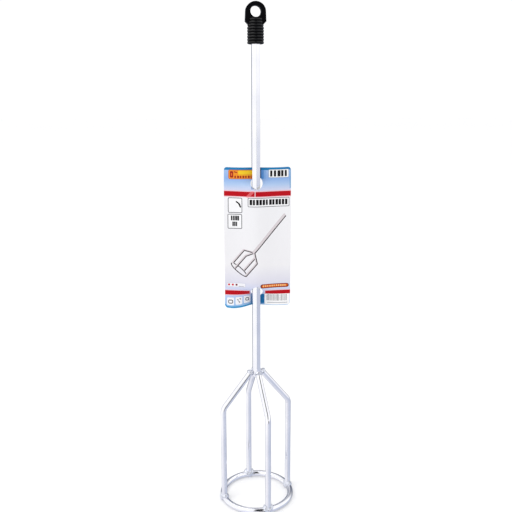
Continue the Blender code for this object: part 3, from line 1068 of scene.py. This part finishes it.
def print_frame(colour, fill, left, foot, right, top, corner, width):
    draw_box(colour, left, foot, right, top, corner)
    draw_box(fill, left + width, foot + width, right - width, top - width, max(0.0, corner - width))


def print_marks(colour, left, foot, right, top, count, seed, solid=0.62):
    """A row of blocks of uneven width that stands for words."""
    pitch = (right - left) / count
    for k in range(count):
        wide = pitch * (solid + 0.25 * noise.noise(Vector((seed, k * 1.7, 0.3))))
        start = left + k * pitch
        draw_box(colour, start, foot, start + wide, top, 0.2)


# the border and the panel at the top, and a painted shadow of the shaft: the dark blue strip along the shaft's
# right side
draw_box("#1f7fb8", 0, 140.3, 67.6, 143)
draw_box("#3a93c6", 66.4, 122, 67.6, 141, 0, 0.6)
# painted shadow of the shaft on the card: a dark blue strip beside it
draw_box("#0f4a80", 35.6, 131, 37.6, 142.5)
draw_box("#3f8fdc", 37.6, 131.5, 40.2, 140.5, 0, 0.75)
draw_box("#79b0ea", 40.2, 131.5, 42.6, 140.5, 0, 0.5)
draw_box("#3d74b4", 27.6, 122, 30.5, 133, 0, 0.6)
print_frame("#c8501a", "#f3962a", 4.6, 131.4, 30.0, 140.6, 1.6, 0.5)
draw_box("#fbd02c", 14.5, 136.2, 30.0, 140.0, 0.8)
draw_box("#f7b52a", 14.5, 134.6, 30.0, 136.2, 0, 0.7)
draw_box("#a3261a", 6.2, 132.8, 9.6, 139.2, 1.0)
draw_box("#e9742a", 7.3, 134.6, 8.5, 137.4, 0.5)
draw_line("#a3261a", (10.6, 138.6), (13.2, 138.0), 1.0)
print_marks("#a3261a", 10.8, 132.4, 29.6, 134.8, 7, 4.0)
print_frame("#56647a", "#ffffff", 45.0, 132.8, 65.4, 141.0, 0.8, 0.25)
print_marks("#17171a", 46.6, 133.9, 64.9, 140.0, 5, 1.0, 0.70)

# the crimson stripe, with a painted highlight where the board turns to pass the shaft: a lighter streak for its
# lit slope and a pale line for the shine along its ridge
draw_box("#f3c3cc", 0, 113.9, 67.6, 120.4)
draw_box("#bd0418", 0, 114.7, 67.6, 119.5)
draw_line("#ff8f94", (28.6, 119.0), (24.4, 114.6), 3.0, 0.45)
draw_line("#f8e6ea", (31.5, 120.4), (31.2, 103.5), 0.9, 0.75)

# the white panel: two boxes with small signs, the box with the size, and a drawing of the tool
print_frame("#4c4c54", "#fbfbfc", 4.0, 97.9, 18.6, 113.2, 1.4, 0.65)
draw_line("#121216", (12.6, 109.2), (15.2, 107.4), 1.3)
draw_line("#121216", (15.2, 107.4), (16.7, 104.2), 1.7)
print_frame("#4c4c54", "#fbfbfc", 3.6, 81.8, 18.3, 96.8, 1.2, 0.65)
print_marks("#0c0c10", 7.0, 90.2, 15.6, 95.0, 4, 7.0, 0.78)
print_marks("#0c0c10", 8.4, 84.4, 13.8, 89.0, 3, 9.0, 0.78)
print_frame("#5c5c64", "#fbfbfc", 24.2, 104.2, 66.0, 113.4, 0.9, 0.6)
print_marks("#0c0c10", 26.0, 106.2, 64.8, 111.7, 12, 12.0, 0.74)

# The drawing is the tool itself seen askew: a ring, four legs and the shaft, each a pale band beside a line.
SKETCH_INK, SKETCH_TINT = "#2c2326", "#dfd7da"
down = Vector((-0.64, -0.77)).normalized()
beside = Vector((-down.y, down.x))
sketch_crown = Vector((30.6, 57.8))
sketch_ring = Vector((15.6, 40.0))


def print_wire(start, end, width=1.6):
    shade = beside * 0.35 * width
    draw_line(SKETCH_TINT, start - shade, end - shade, width)
    draw_line(SKETCH_INK, start + shade, end + shade, 0.95)


def sketch_foot(turn):
    return sketch_ring + beside * 10.3 * math.cos(turn) + down * 2.6 * math.sin(turn)


for k in range(18):
    first, second = (math.tau * n / 18 for n in (k, k + 1))
    ink = SKETCH_INK if k < 10 or 11 <= k < 17 else SKETCH_TINT
    draw_line(ink, sketch_foot(first) + down * 1.1, sketch_foot(second) + down * 1.1, 0.95)
for turn in (114, 204, 294, 24):
    foot = sketch_foot(math.radians(turn))
    print_wire(foot, foot - down * 17.2)
    print_wire(foot - down * 17.2, sketch_crown)
print_wire(sketch_crown, sketch_crown - down * 48.5, 2.6)

# the foot of the white panel: three dots and a bar, and a pill
print_frame("#c3c6da", "#f6f6fa", 2.2, 20.5, 21.5, 25.0, 0.5, 0.3)
for k, colour in enumerate(("#d8303a", "#d8303a", "#84303a")):
    draw_box(colour, 3.2 + 3.9 * k, 21.8, 5.4 + 3.9 * k, 23.9, 0.9)
draw_line("#9d9fae", (14.5, 21.4), (20.0, 21.4), 0.5)
draw_box("#6a1c10", 36.6, 19.9, 66.0, 24.2, 2.1)
draw_box("#e2621f", 37.8, 20.7, 65.0, 23.5, 1.4)
print_marks("#ffd08c", 39.2, 21.3, 63.8, 23.0, 11, 21.0, 0.55)

# the lower stripe and the blue panel under it
draw_box("#f3c3cc", 0, 11.8, 26.2, 17.5)
draw_box("#bd0418", 0, 12.5, 25.6, 16.8)
draw_box("#f3c3cc", 41.2, 12.0, 67.6, 17.4)
draw_box("#bd0418", 41.6, 12.6, 67.6, 16.8)
draw_box("#1d78b4", 36.4, 1.6, 41.0, 12.0)
draw_box("#1b6aa4", 27.2, 1.4, 30.6, 12.6)
draw_box("#ffffff", 41.0, 0.6, 67.2, 12.6, 0.6)
for k in range(16):
    bar = 0.45 + 0.35 * noise.noise(Vector((k * 2.3, 5.5, 0.1)))
    draw_box("#3c3c42", 43.4 + 1.32 * k, 5.0, 43.4 + 1.32 * k + bar, 12.0)
draw_line("#95959e", (44.0, 2.8), (64.5, 2.8), 0.6)
for left, right, foot in ((2.2, 9.4, 2.6), (10.9, 17.8, 2.9), (19.3, 26.0, 3.4)):
    draw_box("#f7f8fc", left, foot, right, foot + 7.0, 0.9)
print_frame("#33343a", "#f7f8fc", 3.4, 4.0, 8.4, 7.6, 1.4, 0.8)
for spot in ((13.0, 7.6), (15.4, 8.4), (14.4, 5.6)):
    draw_line("#6c6c74", spot, (spot[0] + 0.8, spot[1] - 0.6), 0.9)
print_frame("#56575e", "#f7f8fc", 20.8, 5.4, 24.8, 8.8, 1.6, 0.8)
draw_line("#2f93c8", (2.4, 0.9), (28.0, 0.9), 1.3)
draw_line("#2f93c8", (0.6, 2.6), (2.4, 0.9), 1.1)

gloss_print, tree, shader = new_material("gloss varnished four colour print")
sheet_map = add_node(tree, "ShaderNodeUVMap", {"uv_map": "card_layout"}).outputs[0]
in_mm = add_node(
    tree, "ShaderNodeVectorMath", {"operation": "SCALE", "Scale": CARD_HEIGHT / MM}, {0: sheet_map}
).outputs[0]
height_mm = add_node(tree, "ShaderNodeSeparateXYZ", links={0: in_mm}).outputs["Y"]
# the ground that the rest is printed on runs from blue through lavender to white, and back at the foot
ground = add_node(tree, "ShaderNodeMapRange", {"From Max": CARD_HEIGHT / MM}, {"Value": height_mm})
ramp = add_node(tree, "ShaderNodeValToRGB", links={0: ground.outputs[0]})
stops = [
    (0.0, "#8fbdea"),
    (9.0, "#b6cdf2"),
    (17.0, "#cfd7f3"),
    (26.0, "#e4e3ef"),
    (44.0, "#f5f4f6"),
    (114.0, "#f5f5f7"),
    (120.5, "#d7d9ef"),
    (126.0, "#b3cdf0"),
    (132.0, "#92b6ea"),
    (141.0, "#a8c4ee"),
]
while len(ramp.color_ramp.elements) < len(stops):
    ramp.color_ramp.elements.new(1.0)
for element, (height, colour) in zip(ramp.color_ramp.elements, stops):
    element.position = height * MM / CARD_HEIGHT
    element.color = linear(colour)
ink = ramp.outputs[0]
for kind, colour, (x0, y0, x1, y1), corner, strength in printed:
    if kind == "box":
        values = {
            "Middle": ((x0 + x1) / 2, (y0 + y1) / 2, 0.0),
            "Core": ((x1 - x0) / 2 - corner, (y1 - y0) / 2 - corner, 1.0),
            "Corner": max(corner, 0.001),
        }
    else:
        values = {"Start": (x0, y0, 0.0), "Run": (x1 - x0, y1 - y0, 0.0), "Corner": corner}
    shape = add_node(tree, "ShaderNodeGroup", {"node_tree": box_group if kind == "box" else line_group})
    for socket_name, value in values.items():
        shape.inputs[socket_name].default_value = value
    tree.links.new(in_mm, shape.inputs["Place"])
    cover = shape.outputs[0]
    if strength < 1.0:
        cover = add_node(tree, "ShaderNodeMath", {"operation": "MULTIPLY", 1: strength}, {0: cover}).outputs[0]
    layer = add_node(tree, "ShaderNodeMix", {"data_type": "RGBA", 7: linear(colour)}, {0: cover, 6: ink})
    ink = layer.outputs[2]
# board fibre shows faintly through the varnish
fibre = add_node(
    tree, "ShaderNodeTexNoise", {"Scale": 1 / 0.9, "Detail": 4.0, "Roughness": 0.6}, {"Vector": in_mm}
)
orange_peel = add_node(
    tree, "ShaderNodeBump", {"Strength": 0.06, "Distance": 0.0001}, {"Height": fibre.outputs[0]}
)
varnish = add_node(
    tree,
    "ShaderNodeMapRange",
    {"From Min": 0.3, "From Max": 0.7, "To Min": 0.26, "To Max": 0.36},
    {"Value": fibre.outputs[0]},
)
shader.inputs["Specular IOR Level"].default_value = 0.12
film = add_node(
    tree, "ShaderNodeMix", {"data_type": "RGBA", "blend_type": "MULTIPLY", 0: 1.0, 7: linear("#ededee")}, {6: ink}
)
tree.links.new(film.outputs[2], shader.inputs["Base Color"])
tree.links.new(varnish.outputs[0], shader.inputs["Roughness"])
tree.links.new(orange_peel.outputs[0], shader.inputs["Normal"])

bare_board, tree, shader = new_material("bare white folding board")
place = add_node(tree, "ShaderNodeTexCoord").outputs["Object"]
pulp = add_node(
    tree, "ShaderNodeTexNoise", {"Scale": 1 / 0.0008, "Detail": 5.0, "Roughness": 0.65}, {"Vector": place}
)
board_tone = add_node(
    tree,
    "ShaderNodeMix",
    {"data_type": "RGBA", 6: linear("#e9e8e3"), 7: linear("#f6f5f1")},
    {0: pulp.outputs[0]},
)
nap = add_node(tree, "ShaderNodeBump", {"Strength": 0.15, "Distance": 0.0001}, {"Height": pulp.outputs[0]})
shader.inputs["Roughness"].default_value = 0.75
tree.links.new(board_tone.outputs[2], shader.inputs["Base Color"])
tree.links.new(nap.outputs[0], shader.inputs["Normal"])

card_mesh.materials[0] = gloss_print
card_mesh.materials[1] = bare_board
card_mesh.set_sharp_from_angle(angle=math.radians(50))
card_mesh.name = "printed_card"
card = link_object("printed_card", card_mesh)
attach(card, "card")
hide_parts("display_card")
